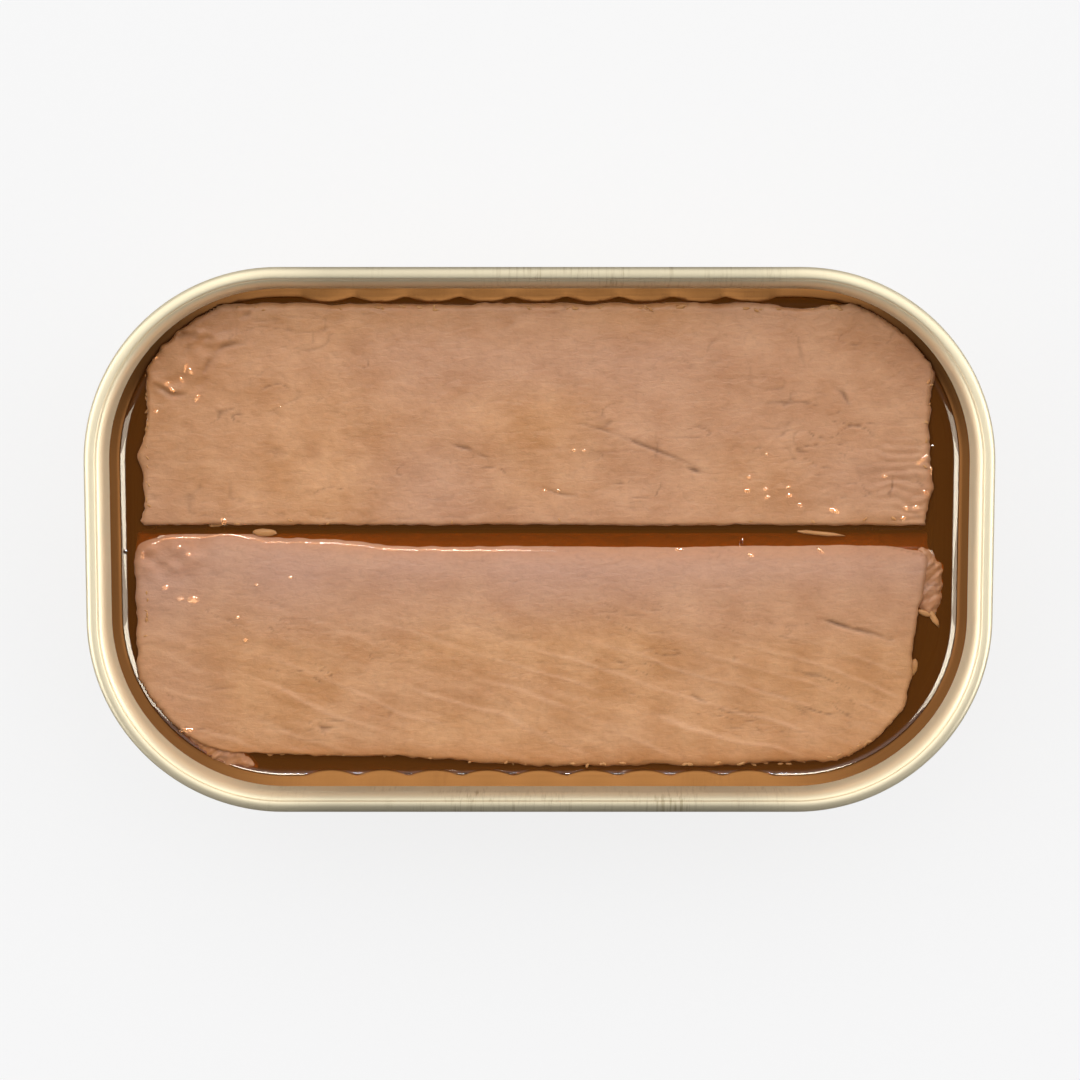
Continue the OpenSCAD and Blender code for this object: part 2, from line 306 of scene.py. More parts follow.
def foot_round(move, z0):
    """The quarter round from the wall into the base, from the top down."""
    r = base_r - sheet - move
    return [(wall_in(base_r) + move + r - r * math.sin(a), z0 + r - r * math.cos(a))
            for a in (math.radians(90 * k / 8) for k in range(8, -1, -1))]


def wall_section(move, top):
    """The can's inner face from the height top down to the foot, moved into the can by move."""
    foot = foot_round(move, sheet + move)
    steps = [top + (foot[0][1] - top) * k / 14 for k in range(0, 14)]
    return [(wall_in(z) + move, z) for z in steps] + foot


def make_body(material):
    shoulder = [(neck_in, z_seam - 0.1), (neck_in, z_neck + 0.25), (neck_in + 0.05, z_neck + 0.08),
                (neck_in + 0.2, z_neck - 0.06)]
    shoulder += [(neck_in + 0.2 + (shoulder_in - neck_in - 0.35) * k / 5,
                  z_neck - 0.06 + (z_shoulder - z_neck + 0.16) * k / 5) for k in range(1, 6)]
    shoulder += [(shoulder_in - 0.05, z_shoulder - 0.02)]
    press = [(ring_in, sheet), (ring_in + ring_h, z_ledge), (ring_in + ring_w - ring_h, z_ledge),
             (ring_in + ring_w, sheet), (ring_in + ring_w + 1.5, sheet)]
    body = carried_round("tin_body", shoulder + wall_section(0, z_shoulder - 0.15) + press, False,
                         long_cuts=152, short_cuts=8)
    pick(body, lambda e: e.is_boundary and e.verts[0].co.z < 2 * mm, "EDGE")
    bpy.ops.mesh.edge_face_add()
    face_inward(body)
    press_beads(body)
    apply(body, "SOLIDIFY", thickness=sheet * mm, offset=-1, use_even_offset=True)
    smooth(body, 35)
    lay_grain(body)
    p = places(body)
    # Painted shade: the ends mask darkens the lacquer on the can's end walls.
    mask(body, "ends", (np.abs(p[:, 0]) - cx + 4) / 14)
    facing = np.array([v.normal for v in body.data.vertices])
    out = p[:, :2] / (half_l, half_w)
    out /= np.maximum(np.hypot(*out.T), 1e-6)[:, None]
    turned_out = (facing[:, :2] * out).sum(axis=1) * 3
    mask(body, "outside", np.where(p[:, 2] < 0.25, -facing[:, 2] * 3, turned_out))
    return finish(body, material, "can_gold", "can_body")


def make_seam(material):
    crown = [(0.05, z_seam + 0.2), (0, z_seam + 0.45), (0, can_h - 1.0)]
    crown += [(1.05 - 1.05 * math.cos(a), can_h - 0.95 + 0.95 * math.sin(a))
              for a in (math.radians(k) for k in (12, 24, 36, 48, 58, 67, 75, 83, 90))]
    crown += [(1.25, can_h - 0.02), (1.38, can_h - 0.09), (1.44, can_h - 0.22), (seam_w - 0.03, can_h - 0.36)]
    chuck = [(seam_w + 0.02, can_h - 0.36), (seam_w + 0.12, can_h - 0.42), (seam_w + 0.35, can_h - 0.68),
             (seam_w + 0.55, can_h - 1.0), (seam_w + 0.7, can_h - 1.4), (seam_w + 0.8, can_h - 2.0),
             (seam_w + 0.88, can_h - 2.8), (seam_w + 0.95, can_h - 3.5), (seam_w + 1.0, can_h - 3.78),
             (seam_w + 1.0, can_h - 3.86), (seam_w + 0.95, can_h - 3.9), (seam_w + 0.75, can_h - 3.85),
             (seam_w + 0.45, can_h - 3.4), (seam_w + 0.15, z_seam + 0.05), (seam_w - 0.1, z_seam), (0.25, z_seam)]
    seam = carried_round("seam_rim", crown + chuck, True, long_cuts=76, short_cuts=24, corner_steps=40)
    bpy.ops.mesh.select_all(action="SELECT")
    bpy.ops.mesh.normals_make_consistent(inside=False)
    smooth(seam, 40)
    lay_grain(seam)
    # Painted highlight: the ends mask brightens the seam's crown at the can's ends.
    mask(seam, "ends", np.clip((np.abs(places(seam)[:, 0]) - cx + 6) / 12, 0, 1))
    return finish(seam, material, "rim_gold", "lid_ring")


# ---------- fish ----------
grid_step = 0.21


def gap_line(x):
    """Where the oil meets the lower fillet's rounded shoulder along the gap."""
    rough = 0.12 * hills(x, x * 0, 1.9, 1, 72) + 0.06 * hills(x, x * 0, 0.8, 1, 73)
    return rough * np.clip((8 - x) / 20, 0.3, 1) + np.interp(
        x, (-46.5, -44.7, -40.5, -37.9, -33.2, -27.4, -24.5, -18.5, -4.8, 12, 36, 46),
        (-0.8, -0.1, 0.1, 0.5, -0.3, -0.6, -0.45, -1.35, -1.4, -1.6, -1.3, -1.3))


def border(obj):
    """Distance of each vertex from the sheet's outline."""
    shape = bmesh.new()
    shape.from_mesh(obj.data)
    edge = [v.co.copy() for v in shape.verts if v.is_boundary]
    shape.free()
    tree = KDTree(len(edge))
    for index, co in enumerate(edge):
        tree.insert(co, index)
    tree.balance()
    return np.array([tree.find(v.co)[2] for v in obj.data.vertices]) / mm


def fillet_top(name, left, right, near, far, side, radius_left, radius_right):
    """The top of a fillet as a fine sheet, cut to the can's corners."""
    nx, ny = int((right - left) / grid_step), int(abs(far - near) / grid_step)
    middle = Vector(((left + right) / 2, (near + far) / 2, z_fish))
    obj = primitive("grid", name, at=middle, size=mm, x_subdivisions=nx, y_subdivisions=ny)
    bpy.ops.transform.resize(value=(right - left, abs(far - near), 1), center_override=middle * mm)
    for end, radius in ((-1, radius_left), (1, radius_right)):
        for degrees in range(3, 88, 4):
            a = math.radians(degrees)
            way = Vector((end * math.cos(a), side * math.sin(a), 0))
            bpy.ops.mesh.select_all(action="SELECT")
            bpy.ops.mesh.bisect(plane_co=Vector((end * cx, side * cy, z_fish)) * mm + way * radius * mm,
                                plane_no=way, clear_outer=True)
    leave_edit()
    return obj


def add_sides(obj):
    """Draws the sheet's outline down to what the fillet lies on, in towards the foot, and closes it below."""
    bpy.context.view_layer.objects.active = obj
    bpy.ops.object.mode_set(mode="EDIT")
    pick(obj, lambda e: e.is_boundary, "EDGE")
    for depth in (0.35, 0.45, 0.8, 2.0, 5.5):
        extrude(0, 0, -depth)
    extrude(0, 0, -6)
    bpy.ops.transform.resize(value=(0.955, 0.87, 1))
    leave_edit()
    p = places(obj)
    push(obj, np.where(p[:, 2] < z_fish - 12, z_ledge - p[:, 2], 0), "Z")
    bpy.ops.object.mode_set(mode="EDIT")
    pick(obj, lambda e: e.is_boundary, "EDGE")
    bpy.ops.mesh.edge_face_add()
    bpy.ops.mesh.select_all(action="SELECT")
    bpy.ops.mesh.normals_make_consistent(inside=False)
    leave_edit()


def creases(x, y, size_x, size_y, width, seed):
    """Thin winding creases, 1 in their middle."""
    return np.clip(1 - np.abs(hills(x, y, size_x, size_y, seed)) / width, 0, 1) * np.clip(
        hills(x, y, size_x * 1.7, size_y * 2.3, seed + 1) * 2, 0, 1)


def stroke(x, y, width, *path):
    """A torn line along the path, 1 in its middle: thick and thin by turns and running out at both ends."""
    best, share = np.full(len(x), 1e9), np.zeros(len(x))
    lengths = [math.dist(a, b) for a, b in zip(path, path[1:])]
    done = 0.0
    for (ax, ay), (bx, by), length in zip(path, path[1:], lengths):
        t = np.clip(((x - ax) * (bx - ax) + (y - ay) * (by - ay)) / length ** 2, 0, 1)
        apart = np.hypot(x - ax - t * (bx - ax), y - ay - t * (by - ay))
        share = np.where(apart < best, (done + t * length) / sum(lengths), share)
        best = np.minimum(best, apart)
        done += length
    ends = np.clip(np.sin(np.pi * share), 0, 1) ** 0.6
    return ends * dab(best, width * (0.45 + 0.55 * ends)) * np.clip(0.75 + 0.7 * hills(x, y, 1.3, 1.3, 61), 0.25, 1)


def flesh(x, y, lean, seed):
    """Relief of packed, cooked flesh in millimetres, and the painted shade in its small cracks; the fibres lean this
    much.
    """
    u = x + lean * y
    soft = (0.10 * hills(u, y, 15, 6.5, seed) + 0.055 * hills(u, y, 4.6, 3.1, seed + 1)
            + 0.03 * hills(u, y, 1.9, 1.2, seed + 2) + 0.016 * hills(u, y, 0.8, 0.5, seed + 3))
    lines = creases(u, y, 5.5, 1.7, 0.06, seed + 4)
    tears = creases(u, y, 3.1, 0.9, 0.09, seed + 6) * np.clip(hills(x, y, 11, 7, seed + 8) + 0.35, 0, 1)
    return soft - 0.045 * lines - 0.07 * tears, 0.25 * lines + 0.55 * tears


def paint(obj, count, **masks):
    """Lays the masks on the top's vertices; the sides, added after them, take a plain value."""
    rest = {"toast": 0.9}
    for name, values in masks.items():
        mask(obj, name, np.concatenate([values, np.full(len(obj.data.vertices) - count, rest.get(name, 0.0))]))


def make_upper(material):
    low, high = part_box("fillet_upper")
    left, right, near, far = low.x / mm, high.x / mm, low.y / mm, high.y / mm
    obj = fillet_top("fillet_upper_meat", left, right, near, far, 1, 19.75, 19.7)
    p = places(obj)
    count = len(p)
    x, y = p[:, 0], p[:, 1]
    rim = border(obj)
    # outline: a lobe on the left end, torn fibres all round, a hollow on the far side
    at_left, at_right = np.exp(-(x - left) / 1.3), np.exp(-(right - x) / 1.0)
    lobe = 0.9 * dab(y - 9.8, 1.9) - 0.35 * dab(y - 17, 4.5) + 0.5 * dab(y - 2.2, 1.0)
    bulge = 0.45 * dab(y - 7.4, 2.4) + 0.4 * dab(y - 19.5, 3.5) - 0.5 * dab(y - 1.5, 1.5)
    torn = 0.22 * hills(x, y, 2.3, 1.5, 3) + 0.12 * hills(x, y, 0.7, 0.5, 4)
    push(obj, at_left * (-lobe + torn) + at_right * (bulge + torn), "X")
    at_near, at_far = np.exp(-(y - near) / 0.6), np.exp(-(far - y) / 0.8)
    push(obj, at_near * (0.28 + 0.12 * hills(x, y, 3, 3, 5) + 0.09 * hills(x, y, 0.9, 1, 6))
         + at_far * (0.42 + 0.16 * hills(x, y, 3, 3, 7) + 0.12 * hills(x, y, 0.8, 1, 8) - 0.65 * dab(x - 31, 3.6)), "Y")
    # surface
    # brown is the painted shade in the small creases
    soft, brown = flesh(x, y, 0.0, 11)
    wob = 0.35 * hills(x, y, 3, 3, 15)
    cracks = ((0.6, 0.2, ((3.5, 14.1), (9.0, 12.6), (14.5, 10.4), (20.9, 8.1))),
              (1.0, 0.28, ((17.2, 8.9), (20.4, 7.7))), (0.7, 0.22, ((-10.8, 11.4), (-8.6, 10.9), (-6.0, 9.6))),
              (0.5, 0.2, ((0.0, 6.1), (4.7, 5.2))), (0.7, 0.22, ((34.4, 18.2), (36.0, 17.2), (36.8, 15.9))))
    crack = np.zeros(count)
    for strength, width, path in cracks:
        crack = np.maximum(crack, strength * stroke(x, y + 0.8 * wob, width, *path))
    # overlapping flakes in the left far corner; their folds are also painted dark, as shade under the flakes' lips
    corner = np.clip((-33 - x) / 7, 0, 1) * np.clip((y - 14.5) / 6, 0, 1)
    folds = (((-46.0, 18.4), (-43.6, 17.2), (-41.8, 17.8)), ((-44.6, 22.8), (-42.2, 24.4), (-38.8, 24.2)),
             ((-40.1, 19.8), (-39.4, 21.6), (-37.6, 23.0), (-34.4, 23.6)), ((-42.6, 21.6), (-41.4, 23.2)),
             ((-35.8, 26.2), (-34.2, 27.0)))
    fold, lip = np.zeros(count), np.zeros(count)
    for path in folds:
        fold = np.maximum(fold, stroke(x + wob, y - wob, 0.38, *path))
        lip = np.maximum(lip, stroke(x + 0.6 + wob, y - 0.6 - wob, 0.9, *path))
    shallow = np.clip((x - 38) / 4, 0, 1) * np.clip((13 - y) / 3, 0, 1)
    ridges = shallow * 0.045 * np.sin((y + 0.7 * hills(x, y, 2.8, 2, 41)) * 2 * math.pi / 1.2)
    round_off = 0.45 * np.maximum(0, 1 - rim / 0.6) ** 2.2
    push(obj, soft - round_off - 0.22 * crack - 0.3 * fold + 0.24 * lip + ridges
         + corner * 0.16 * hills(x + y, y - x, 2.4, 1.5, 42), "Z")
    add_sides(obj)
    keep_in_can(obj, 0.06)
    spots = (0.8 * dab(np.hypot(x + 27, y - 10.6), 1.0) + 0.6 * dab(np.hypot(x + 21.6, y - 22.8), 1.3)
             + 0.5 * dab(np.hypot(x + 22.4, y - 10.2), 0.8) + 0.5 * dab(np.hypot(x - 42.5, y - 22.6), 1.3))
    # Painted shade: the crack mask darkens the cracks, the small creases and the folds; the browning mask is darker at
    # the outline and in both far corners.
    paint(obj, count, crack=crack + brown + 0.45 * fold, blot=spots + 0.35 * np.clip(hills(x, y, 7, 5, 51) - 0.2, 0, 1),
          toast=np.exp(-rim / 0.9) * np.clip(0.4 + hills(x, y, 5, 5, 52), 0, 1) + 0.45 * corner
          + 0.4 * np.clip((x - 36) / 10, 0, 1) * np.clip((y - 15) / 10, 0, 1),
          rose=0.25 + 0.3 * hills(x, y, 13, 7, 53), line=0.35 * np.clip(hills(x, y, 2.6, 0.7, 54) * 2 - 1, 0, 1))
    smooth(obj, 60)
    return finish(obj, material, "tuna", "fillet_upper")


def make_lower(material):
    low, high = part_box("fillet_lower")
    left, right, near, far = low.x / mm, high.x / mm, high.y / mm, low.y / mm
    obj = fillet_top("fillet_lower_meat", left, right, near, far, -1, 18.9, 18.6)
    p = places(obj)
    count = len(p)
    x, y = p[:, 0], p[:, 1]
    rim = border(obj)
    below = gap_line(x) + 1.45 - y                # from the toe under the oil
    ends = np.minimum(x - left, right - x)
    rim = np.where(below < 3.0, np.minimum(ends, 9), rim)
    at_left, at_right = np.exp(-(x - left) / 1.3), np.clip((x - 34) / 11, 0, 1)
    slant = np.interp(-y, (2.7, 8.4, 14.4, 17.7, 22), (1.0, 0.1, -0.7, -1.0, -1.6))
    torn = 0.2 * hills(x, y, 2.5, 1.7, 103) + 0.1 * hills(x, y, 0.8, 0.6, 104)
    push(obj, at_left * (-0.45 + torn) + at_right * slant + np.exp(-(right - x) / 1.0) * torn, "X")
    at_far = np.exp(-(y - far) / 1.6)
    run = np.interp(x, (-36, -14, 0, 20, 34), (1.1, 0.5, -0.55, -0.4, 0.1))
    push(obj, at_far * (run + 0.14 * hills(x, y, 3.4, 3, 105)) + np.exp(-rim / 0.4) * np.clip(below / 3, 0, 1)
         * 0.12 * hills(x, y, 0.9, 0.9, 106), "Y")
    # brown is the painted shade in the small creases
    soft, brown = flesh(x, y, 2.0, 111)
    plain = np.clip((y + 13) / 7, 0, 1)           # the smooth strip along the gap
    # thin joints of the muscle, falling to the right
    bend = 1.0 * hills(x, y, 15, 9, 121) + 0.3 * hills(x, y, 4, 3, 122)
    phase = ((y + 0.40 * x + 0.004 * (x + 10) * (y + 8) + bend) / 3.4) % 1
    phase = np.minimum(phase, 1 - phase) * 3.4
    strength = np.clip(hills(x, y, 9, 4, 123) + 0.75, 0, 1) * np.clip((-9.5 - y) / 5, 0, 1) * np.clip(rim / 2, 0, 1)
    line = dab(phase, 0.26) * strength
    # The cut and the pits sink into the meat and are also painted dark as shade.
    cut = stroke(x, y + 0.25 * hills(x, y, 2, 2, 124), 0.24, (33.0, -9.6), (36.2, -10.4), (39.2, -11.3), (42.8, -12.0))
    pits = np.zeros(count)
    for width, path in ((0.3, ((-26.6, -22.4), (-25.8, -23.1), (-24.9, -22.7))), (0.35, ((-22.0, -20.2), (-21.0, -20.6))),
                        (0.35, ((-18.2, -20.9), (-17.6, -21.4))), (0.18, ((25.0, -17.7), (27.4, -18.6), (29.9, -19.1))),
                        (0.2, ((17.8, -18.6), (20.1, -19.8))), (0.3, ((23.2, -14.2), (23.6, -14.6)))):
        pits = np.maximum(pits, stroke(x + 0.3 * hills(x, y, 1, 1, 125), y, width, *path))
    lumpy = np.clip((-38.5 - x) / 3, 0, 1) * np.clip((y + 5.2) / 2, 0, 1)
    fall = 1.95 * np.exp(-np.maximum(below, -0.3) / 1.35)
    # the near right corner falls away along a crease, which is also painted dark as shade
    chamfer = np.clip(y + 1.2 + 0.3 * (x - 41.6), 0, 3) * np.clip((x - 40) / 2, 0, 1)
    round_off = 0.45 * np.maximum(0, 1 - rim / 0.6) ** 2.2
    push(obj, soft * (1 - 0.55 * plain) - fall - round_off + 0.04 * line - 0.3 * cut - 0.14 * pits - 0.35 * chamfer
         + lumpy * 0.28 * hills(x, y, 1.5, 1.2, 141), "Z")
    add_sides(obj)
    keep_in_can(obj, 0.06)
    # Painted light: the browning mask also paints shade on the meat along the gap and darkens its near edge, outline
    # and lumpy patch; the pink mask paints a pale sheen on the slope toward the gap.
    paint(obj, count, crack=cut + 0.45 * pits + brown * (1 - 0.7 * plain) + 0.3 * (chamfer > 0.02) * dab(chamfer, 0.25),
          blot=0.35 * np.clip(hills(x, y, 8, 5, 151) - 0.25, 0, 1),
          toast=np.clip((-24.3 - y) / 2, 0, 1) * 0.75 + np.exp(-rim / 0.7) * 0.4 * np.clip(-y / 4, 0, 1) + lumpy * 0.5
          + 0.7 * dab(np.maximum(0, gap_line(x) - 0.2 - y), 1.1) * (y > -6),
          rose=np.clip((y + 13) / 9, 0, 1) * 0.85 + 0.15 * hills(x, y, 10, 6, 153) + 0.3 * np.clip((-36 - x) / 8, 0, 1),
          line=line)
    smooth(obj, 60)
    return finish(obj, material, "tuna", "fillet_lower")


# ---------- oil ----------
def make_oil(material):
    """The oil fills the can between metal and meat; its top climbs a little at the walls and at the meat."""
    # drawn from the inside of the top out into the wall's foot, and down to the base
    top = [(shoulder_in + d, z_oil) for d in (4.2, 3.4, 2.9, 2.5, 2.2, 1.95, 1.7, 1.5, 1.3, 1.15, 1.0, 0.85, 0.72,
                                              0.6, 0.5, 0.4, 0.3, 0.2, 0.1, 0.0, -0.08)]
    oil = carried_round("oil_fill", top + wall_section(-0.14, z_oil - 0.1) + [(ring_in, sheet - 0.14)], False,
                        long_cuts=152, short_cuts=30, corner_steps=36)
    for lower_end in (True, False):
        pick(oil, lambda e: e.is_boundary and (e.verts[0].co.z < 2 * mm) == lower_end, "EDGE")
        bpy.ops.mesh.edge_face_add()

    def along_gap(face):
        """The flat top inside the loops round the wall."""
        inside = all(abs(v.co.x) < (half_l - 7.7) * mm and abs(v.co.y) < (half_w - 7.7) * mm for v in face.verts)
        return inside and face.calc_center_median().z > 10 * mm

    for y in (*np.arange(-23.6, -4, 2.4), *np.arange(-3.3, 2.7, 0.18), *np.arange(4.4, 24, 2.4)):
        pick(oil, along_gap, "FACE")
        bpy.ops.mesh.bisect(plane_co=(0, y * mm, 0), plane_no=(0, 1, 0))
    for x in np.arange(-45.2, 45.3, 0.5):
        pick(oil, along_gap, "FACE")
        bpy.ops.mesh.bisect(plane_co=(x * mm, 0, 0), plane_no=(1, 0, 0))
    bpy.ops.mesh.select_all(action="SELECT")
    bpy.ops.mesh.normals_make_consistent(inside=False)
    leave_edit()
    is_top = places(oil)[:, 2] > z_oil - 0.01
    press_beads(oil, 0.4)
    p = places(oil)
    x, y = p[:, 0], p[:, 1]
    from_wall = inset_at(x, y) - shoulder_in
    climb = 0.42 * np.exp(-np.maximum(from_wall, 0) / 0.9) - 0.13
    climb = np.where(from_wall < -0.04, 0.1, climb)
    gap = 0.17 * np.exp(-np.maximum(0, y - gap_line(x)) / 0.33) + 0.10 * np.exp(-np.abs(y - 1.35) / 0.35)
    climb += np.where(np.abs(y) < 4, gap * np.clip((half_l - 6 - np.abs(x)) / 2, 0, 1), 0)
    climb += 0.012 * hills(x, y, 5, 5, 201) * np.where(np.abs(y) < 3, 1, np.clip(3.9 - from_wall, 0, 1))
    push(oil, np.where(is_top, climb, 0), "Z")
    smooth(oil, 50)
    return finish(oil, material, "oil", "oil")


# ---------- loose pieces ----------
def make_sliver(material, name, node, slot_name, corners, top, thick, seed):
    """A torn-off flake: a fine sheet cut to its corners, humped and roughened, and given its thickness."""
    across, along = np.array(corners).T
    middle = Vector((np.ptp(across) / 2 + across.min(), np.ptp(along) / 2 + along.min(), top))
    obj = primitive("grid", name, at=middle, size=mm, x_subdivisions=int(np.ptp(across) / 0.1),
                    y_subdivisions=int(np.ptp(along) / 0.1))
    bpy.ops.transform.resize(value=(np.ptp(across), np.ptp(along), 1), center_override=middle * mm)
    for (ax, ay), (bx, by) in zip(corners, corners[1:] + corners[:1]):
        bpy.ops.mesh.select_all(action="SELECT")
        bpy.ops.mesh.bisect(plane_co=Vector((ax, ay, top)) * mm, plane_no=(by - ay, ax - bx, 0), clear_outer=True)
    leave_edit()
    p = places(obj)
    x, y = p[:, 0], p[:, 1]
    rim = border(obj)
    push(obj, np.exp(-rim / 0.3) * 0.22 * hills(x, y, 0.9, 0.9, seed), "X")
    push(obj, np.exp(-rim / 0.3) * 0.22 * hills(x, y, 0.9, 0.9, seed + 1), "Y")
    hump = -0.5 * np.maximum(0, 1 - rim / 0.8) ** 2 + 0.16 * hills(x + y, y - x, 1.6, 0.6, seed + 2)
    push(obj, hump - hump.max(), "Z")
    count = len(obj.data.vertices)
    bpy.context.view_layer.objects.active = obj
    bpy.ops.object.mode_set(mode="EDIT")
    pick(obj, lambda e: e.is_boundary, "EDGE")
    for part in (0.15, 0.35, 0.5):
        extrude(0, 0, -thick * part)
    bpy.ops.mesh.edge_face_add()
    bpy.ops.mesh.select_all(action="SELECT")
    bpy.ops.mesh.normals_make_consistent(inside=False)
    leave_edit()
    # Painted shade: thin dark creases are painted on the flake.
    paint(obj, count, crack=creases(x, y, 1.2, 0.5, 0.2, seed + 3) * 0.5, blot=0.2 + 0 * x,
          toast=0.5 + 0.4 * hills(x, y, 1.5, 1.5, seed + 4), rose=0.3 + 0.3 * hills(x, y, 2, 2, seed + 5),
          line=0.4 * np.clip(hills(x + y, y - x, 1.6, 0.5, seed + 6), 0, 1))
    smooth(obj, 60)
    return finish(obj, material, slot_name, *node)


def height_at(x, y, pieces):
    """Height of the highest of the pieces here, in millimetres."""
    bpy.context.view_layer.update()
    found = [piece.ray_cast(Vector((x, y, 40)) * mm, Vector((0, 0, -1))) for piece in pieces]
    return max([place.z / mm for hit, place, *_ in found if hit], default=z_oil)


def scattered(name, material, slot_name, models, spots):
    """Copies of the models, each with its own mesh, set down at (x, y, height, length, width, thickness, turn) and
    joined into one piece."""
    made = []
    for index, (x, y, z, length, width, thick, turn) in enumerate(spots):
        model = models[index % len(models)]
        copy = bpy.data.objects.new(name, model.data.copy())
        bpy.context.scene.collection.objects.link(copy)
        copy.location = Vector((x, y, z)) * mm
        copy.rotation_euler = (0, 0, math.radians(turn))
        copy.scale = (length, width, thick)
        made.append(copy)
    bpy.ops.object.select_all(action="DESELECT")
    for copy in made:
        copy.select_set(True)
    bpy.context.view_layer.objects.active = made[0]
    bpy.ops.object.join()
    obj = bpy.context.view_layer.objects.active
    bpy.ops.object.transform_apply(location=True, rotation=True, scale=True)
    obj.name = obj.data.name = name
    for layer, value in (("crack", 0.0), ("blot", 0.0), ("toast", 0.8), ("rose", 0.1), ("line", 0.2)):
        mask(obj, layer, np.full(len(obj.data.vertices), value))
    for polygon in obj.data.polygons:
        polygon.use_smooth = True
    return finish(obj, material, slot_name)


def crumb_models():
    """Two torn crumbs and a drop, each a millimetre across, for copying."""
    made = []
    for seed in (401, 402):
        crumb = primitive("ico_sphere", "crumb_model", radius=0.5 * mm, subdivisions=2)
        leave_edit()
        p = places(crumb)
        push(crumb, 0.16 * hills(p[:, 0] + p[:, 2], p[:, 1] - p[:, 2], 0.35, 0.3, seed), "NORMAL")
        made.append(crumb)
    drop = primitive("uv_sphere", "drop_model", radius=0.5 * mm, segments=14, ring_count=8)
    bpy.ops.mesh.bisect(plane_co=(0, 0, -0.1 * mm), plane_no=(0, 0, 1), clear_inner=True, use_fill=True)
    leave_edit()
    return made, drop


def make_waterline(material, name, left, right, width, line, thin):
    """A raised edge of the oil: a strip rounded like a bead and laid along the line; thin is its share of width."""
    obj = primitive("grid", name, at=((left + right) / 2, 0, 0), size=mm, x_subdivisions=480, y_subdivisions=6)
    bpy.ops.transform.resize(value=(right - left, width, 1), center_override=Vector(((left + right) / 2, 0, 0)) * mm)
    leave_edit()
    p = places(obj)
    x, y = p[:, 0], p[:, 1]
    share = thin(x) * np.clip(0.75 + 0.5 * hills(x, x * 0, 2.2, 1, 451), 0.25, 1)
    push(obj, line(x) - y * (1 - share), "Y")
    height = np.array([height_at(a, b, [lower, oil]) for a, b in zip(x, line(x))])
    push(obj, height + share * width / 2 * np.sqrt(np.maximum(0, 1 - (2 * y / width) ** 2)), "Z")
    bpy.context.view_layer.objects.active = obj
    bpy.ops.object.mode_set(mode="EDIT")
    pick(obj, lambda e: e.is_boundary, "EDGE")
    extrude(0, 0, -0.12)
    bpy.ops.mesh.edge_face_add()
    bpy.ops.mesh.select_all(action="SELECT")
    bpy.ops.mesh.normals_make_consistent(inside=False)
    leave_edit()
    smooth(obj, 70)
    return finish(obj, material, "oil")


# ---------- materials ----------
def colour(code):
    """A web colour such as "C9A45A" as linear red, green, blue and alpha."""
    parts = [int(code[k:k + 2], 16) / 255 for k in (0, 2, 4)]
    return tuple(c / 12.92 if c <= 0.04045 else ((c + 0.055) / 1.055) ** 2.4 for c in parts) + (1.0,)


def add(tree, kind, inputs=None, **settings):
    """Adds one shader node with its settings; an input is a value or another node's output."""
    node = tree.nodes.new("ShaderNode" + kind)
    for key, value in settings.items():
        setattr(node, key, value)
    for key, value in (inputs or {}).items():
        if isinstance(value, bpy.types.NodeSocket):
            tree.links.new(value, node.inputs[key])
        else:
            node.inputs[key].default_value = value
    return node


def material(name):
    """A new material with only its output; returns the material and its node tree."""
    made = bpy.data.materials.new(name)
    made.use_nodes = True
    made.node_tree.nodes.clear()
    return made, made.node_tree


